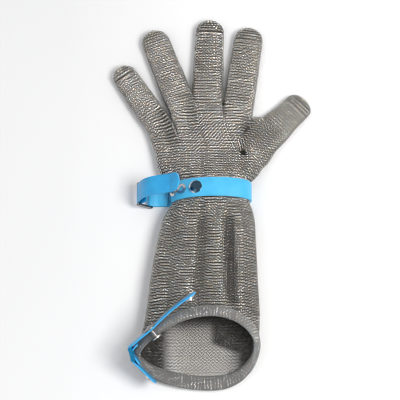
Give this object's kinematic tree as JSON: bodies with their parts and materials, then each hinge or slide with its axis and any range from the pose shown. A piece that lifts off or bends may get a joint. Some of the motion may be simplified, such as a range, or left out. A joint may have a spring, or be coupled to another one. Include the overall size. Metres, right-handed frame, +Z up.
{
  "type": "chain mail glove",
  "caption": "Five-finger butcher's glove of welded steel ring mesh with a long open cuff, a snap belt round the wrist and a second belt at the cuff's mouth.",
  "frame": {"origin": "on the bench, under the middle of the wrist", "axes": "+Z is up from the bench, +Y runs from the cuff to the fingers and +X is the thumb side"},
  "size_m": [0.2169, 0.4394, 0.0681],
  "materials": {
    "ring_mesh": "mesh of small welded steel rings, satin, slightly warm grey",
    "hem_mesh": "rolled edge of the same ring mesh, cooler grey",
    "blue_strap": "moulded plastic belt, bright blue, semi-matt with a soft sheen",
    "slide_steel": "bent and welded steel wire and plate, satin",
    "snap_chrome": "polished snap fasteners and rivets"
  },
  "bodies": {
    "hand": {"palm_mail": "ring_mesh", "wrist_mail": "ring_mesh", "wrist_strap": "blue_strap", "wrist_slide": "slide_steel", "wrist_sockets": "snap_chrome", "wrist_rivet": "snap_chrome", "wrist_rivet_washer": "snap_chrome"},
    "wrist_tab": {"wrist_strap_tab": "blue_strap", "tab_stud": "snap_chrome"},
    "cuff": {"cuff_mail": "ring_mesh", "cuff_hem": "hem_mesh", "cuff_strap": "blue_strap", "cuff_slide": "slide_steel", "cuff_rivet": "snap_chrome", "cuff_rivet_washer": "snap_chrome"},
    "cuff_tail": {"cuff_strap_tail": "blue_strap", "tail_stud": "snap_chrome"},
    "cuff_end": {"cuff_strap_end": "blue_strap", "cuff_socket": "snap_chrome"},
    "little_base": {"little_root_mail": "ring_mesh"},
    "little_end": {"little_tip_mail": "ring_mesh"},
    "ring_base": {"ring_root_mail": "ring_mesh"},
    "ring_end": {"ring_tip_mail": "ring_mesh"},
    "middle_base": {"middle_root_mail": "ring_mesh"},
    "middle_end": {"middle_tip_mail": "ring_mesh"},
    "index_base": {"index_root_mail": "ring_mesh"},
    "index_end": {"index_tip_mail": "ring_mesh"},
    "thumb_base": {"thumb_root_mail": "ring_mesh"},
    "thumb_end": {"thumb_tip_mail": "ring_mesh"}
  },
  "joints": [
    {"name": "little_root_bend", "type": "hinge", "parent": "hand", "child": "little_base", "pos_m": [-0.064, 0.098, 0.0065], "axis": [-0.848, -0.5299, 0], "range_deg": [-20, 60]},
    {"name": "little_knuckle_bend", "type": "hinge", "parent": "little_base", "child": "little_end", "pos_m": [-0.07884, 0.12175, 0.0065], "axis": [-0.848, -0.5299, 0], "range_deg": [0, 65]},
    {"name": "ring_root_bend", "type": "hinge", "parent": "hand", "child": "ring_base", "pos_m": [-0.034, 0.119, 0.0065], "axis": [-0.9336, -0.3584, 0], "range_deg": [-20, 60]},
    {"name": "ring_knuckle_bend", "type": "hinge", "parent": "ring_base", "child": "ring_end", "pos_m": [-0.0469, 0.15261, 0.0065], "axis": [-0.9336, -0.3584, 0], "range_deg": [0, 65]},
    {"name": "middle_root_bend", "type": "hinge", "parent": "hand", "child": "middle_base", "pos_m": [0.002, 0.13, 0.0065], "axis": [-0.9994, 0.0349, 0], "range_deg": [-20, 60]},
    {"name": "middle_knuckle_bend", "type": "hinge", "parent": "middle_base", "child": "middle_end", "pos_m": [0.00326, 0.16598, 0.0065], "axis": [-0.9994, 0.0349, 0], "range_deg": [0, 65]},
    {"name": "index_root_bend", "type": "hinge", "parent": "hand", "child": "index_base", "pos_m": [0.04, 0.128, 0.0065], "axis": [-0.9914, 0.1305, 0], "range_deg": [-20, 60]},
    {"name": "index_knuckle_bend", "type": "hinge", "parent": "index_base", "child": "index_end", "pos_m": [0.04431, 0.16072, 0.0065], "axis": [-0.9914, 0.1305, 0], "range_deg": [0, 65]},
    {"name": "thumb_root_bend", "type": "hinge", "parent": "hand", "child": "thumb_base", "pos_m": [0.0656, 0.0658, 0.0065], "axis": [-0.7193, 0.6947, 0], "range_deg": [-20, 50]},
    {"name": "thumb_knuckle_bend", "type": "hinge", "parent": "thumb_base", "child": "thumb_end", "pos_m": [0.08575, 0.08666, 0.0065], "axis": [-0.7193, 0.6947, 0], "range_deg": [0, 60]},
    {"name": "wrist_bend", "type": "hinge", "parent": "hand", "child": "cuff", "pos_m": [0, -0.024, 0.0195], "axis": [1, 0, 0], "range_deg": [-35, 35]},
    {"name": "wrist_tab_swing", "type": "hinge", "parent": "hand", "child": "wrist_tab", "pos_m": [-0.07432, -0.004, 0.0123], "axis": [0, -1, 0], "range_deg": [-21.5, 125]},
    {"name": "cuff_tail_bend", "type": "hinge", "parent": "cuff", "child": "cuff_tail", "pos_m": [-0.05222, -0.16525, 0.04664], "axis": [0, -0.4226, 0.9063], "range_deg": [-25, 70]},
    {"name": "cuff_end_swing", "type": "hinge", "parent": "cuff", "child": "cuff_end", "pos_m": [-0.07915, -0.19983, 0.03051], "axis": [0, -0.4226, 0.9063], "range_deg": [-60, 30]}
  ]
}
